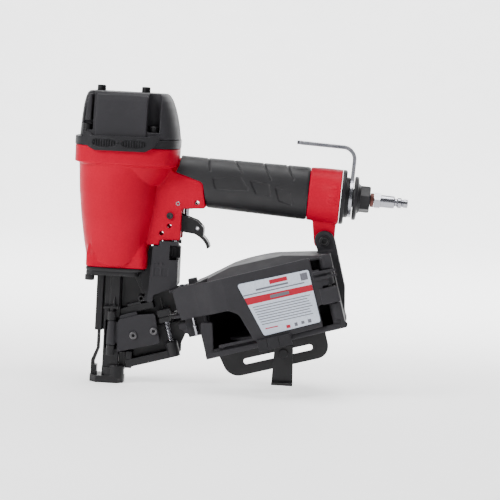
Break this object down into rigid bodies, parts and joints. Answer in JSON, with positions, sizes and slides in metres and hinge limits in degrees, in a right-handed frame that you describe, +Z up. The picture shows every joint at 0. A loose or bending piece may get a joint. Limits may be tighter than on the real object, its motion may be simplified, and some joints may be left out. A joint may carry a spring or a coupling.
{
  "type": "pneumatic coil roofing nailer",
  "caption": "Hand-held air nailer with upright barrel, rubber grip handle, coil nail magazine, nose with contact arm, trigger, swivel hook, air plug and shingle gauge.",
  "frame": {"origin": "bottom centre of the tool's bounding box, on the plane of the contact foot's work face", "axes": "+X from the barrel along the handle to the air plug, +Y away from the magazine's cover side, +Z up along the driver's axis"},
  "size_m": [0.3002, 0.1116, 0.2675],
  "materials": {
    "red_paint": "gloss red paint on a die casting, with a fine cast texture",
    "black_plastic": "moulded black plastic, satin, with a fine grain",
    "grey_plastic": "moulded dark grey plastic, satin, with a fine grain",
    "rubber": "matt black rubber with a moulded grip pattern",
    "black_steel": "black oxide steel, dull, with worn edges",
    "steel": "bright plated steel with light scratches",
    "aluminium": "machined aluminium",
    "bronze": "dull red-brown metal",
    "label_paper": null
  },
  "bodies": {
    "tool_body": {"housing": "red_paint", "handle_grip": "rubber", "head_cap": "black_plastic", "cap_band": "black_plastic", "exhaust_grille_left": "black_plastic", "exhaust_grille_right": "black_plastic", "cap_screw_1": "black_steel", "cap_screw_2": "black_steel", "cap_screw_3": "black_steel", "cap_screw_4": "black_steel", "cover_screw_front": "black_steel", "cover_screw_rear": "black_steel", "cylinder_sleeve": "aluminium", "bumper": "rubber", "head_valve_spring": "steel", "trigger_valve_body": "aluminium", "trigger_valve_spring": "steel", "trigger_pin": "rubber", "end_cap": "black_plastic", "nose_body": "black_steel", "nose_screw_left": "black_steel", "nose_screw_right": "black_steel", "door_hinge_pin": "black_steel", "latch_spring": "steel", "arm_spring": "steel", "arm_guard": "grey_plastic", "magazine_body": "grey_plastic", "cover_hinge_pin": "steel", "magazine_screw": "black_steel", "feed_cylinder": "black_steel", "gauge_plate": "black_steel"},
    "driver": {"piston": "aluminium", "piston_seal": "rubber", "driver_blade": "steel"},
    "head_valve": {"head_valve": "black_plastic"},
    "trigger": {"trigger": "black_steel", "trip_lever_pin": "steel"},
    "trip_lever": {"trip_lever": "black_steel"},
    "valve_stem": {"trigger_valve_stem": "steel"},
    "contact_arm": {"contact_foot": "black_steel", "contact_link": "black_steel"},
    "depth_wheel": {"depth_wheel": "black_plastic"},
    "trip_rod": {"trip_rod": "steel"},
    "nose_door": {"nose_door": "grey_plastic", "door_rivet_front": "black_steel", "door_rivet_rear": "black_steel"},
    "door_latch": {"door_latch": "black_steel"},
    "magazine_cover": {"magazine_cover": "grey_plastic", "cover_latch": "black_plastic", "label": "label_paper"},
    "nail_platform": {"nail_platform": "black_plastic"},
    "feeder": {"feed_piston": "steel"},
    "feed_pawl": {"feed_pawl": "steel"},
    "hook": {"hook": "steel"},
    "air_swivel": {"swivel_flange": "black_plastic", "thread_bush": "bronze", "air_plug": "steel"},
    "gauge_strap": {"gauge_strap": "black_steel", "gauge_screw": "black_steel", "gauge_knob": "black_plastic"}
  },
  "joints": [
    {"name": "driver_stroke", "type": "slide", "parent": "tool_body", "child": "driver", "axis": [0, 0, -1], "range_m": [0, 0.061]},
    {"name": "head_valve_lift", "type": "slide", "parent": "tool_body", "child": "head_valve", "axis": [0, 0, 1], "range_m": [0, 0.003], "stiffness_N_per_m": 900, "springref_m": -0.004, "deforming": ["head_valve_spring"]},
    {"name": "trigger_pull", "type": "hinge", "parent": "tool_body", "child": "trigger", "pos_m": [-0.06152, -0.0012, 0.1542], "axis": [0, -1, 0], "range_deg": [0, 10], "stiffness_Nm_per_rad": 0.25, "springref_deg": -11.46},
    {"name": "trip_lever_swing", "type": "hinge", "parent": "trigger", "child": "trip_lever", "pos_m": [-0.03682, -0.0012, 0.1438], "axis": [0, 1, 0], "range_deg": [0, 22], "stiffness_Nm_per_rad": 0.02, "springref_deg": -17.19},
    {"name": "valve_stem_lift", "type": "slide", "parent": "tool_body", "child": "valve_stem", "axis": [0, 0, 1], "range_m": [0, 0.0025], "stiffness_N_per_m": 500, "springref_m": -0.003, "deforming": ["trigger_valve_spring"]},
    {"name": "contact_arm_press", "type": "slide", "parent": "tool_body", "child": "contact_arm", "axis": [0, 0, 1], "range_m": [0, 0.007], "stiffness_N_per_m": 1800, "springref_m": -0.012, "deforming": ["arm_spring"]},
    {"name": "depth_wheel_turn", "type": "hinge", "parent": "contact_arm", "child": "depth_wheel", "pos_m": [-0.05822, -0.0012, 0.121], "axis": [0, 0, 1], "range_deg": [0, 720]},
    {"name": "trip_rod_set", "type": "slide", "parent": "contact_arm", "child": "trip_rod", "axis": [0, 0, 1], "range_m": [-0.002, 0]},
    {"name": "nose_door_swing", "type": "hinge", "parent": "tool_body", "child": "nose_door", "pos_m": [-0.10942, -0.0137, 0.046], "axis": [0, 0, -1], "range_deg": [0, 120]},
    {"name": "door_latch_slide", "type": "slide", "parent": "tool_body", "child": "door_latch", "axis": [0.2756, 0, -0.9613], "range_m": [0, 0.0045], "stiffness_N_per_m": 700, "springref_m": -0.004, "deforming": ["latch_spring"]},
    {"name": "magazine_cover_swing", "type": "hinge", "parent": "tool_body", "child": "magazine_cover", "pos_m": [0.08542, -0.0452, 0.10095], "axis": [-0.2756, 0, 0.9613], "range_deg": [0, 100]},
    {"name": "nail_platform_height", "type": "slide", "parent": "tool_body", "child": "nail_platform", "axis": [-0.2756, 0, 0.9613], "range_m": [0, 0.02]},
    {"name": "feeder_stroke", "type": "slide", "parent": "tool_body", "child": "feeder", "axis": [0.9613, 0, 0.2756], "range_m": [0, 0.007], "stiffness_N_per_m": 600, "springref_m": -0.005},
    {"name": "feed_pawl_swing", "type": "hinge", "parent": "feeder", "child": "feed_pawl", "pos_m": [-0.05167, 0.006, 0.06352], "axis": [0.2756, 0, -0.9613], "range_deg": [0, 14], "stiffness_Nm_per_rad": 0.01, "springref_deg": -17.19},
    {"name": "hook_swing", "type": "hinge", "parent": "tool_body", "child": "hook", "pos_m": [0.0986, -0.0012, 0.17844], "axis": [0.9988, 0, -0.0497], "range_deg": [-90, 90]},
    {"name": "air_fitting_swivel", "type": "hinge", "parent": "tool_body", "child": "air_swivel", "pos_m": [0.10359, -0.0012, 0.17819], "axis": [0.9988, 0, -0.0497], "continuous": true},
    {"name": "gauge_strap_slide", "type": "slide", "parent": "tool_body", "child": "gauge_strap", "axis": [0.9613, 0, 0.2756], "range_m": [-0.033, 0.023]}
  ],
  "couplings": [
    {"joint": "depth_wheel_turn", "follows": "trip_rod_set", "rad_per_m": -6283.2},
    {"joint": "trip_lever_swing", "follows": "contact_arm_press", "rad_per_m": 54.8}
  ]
}
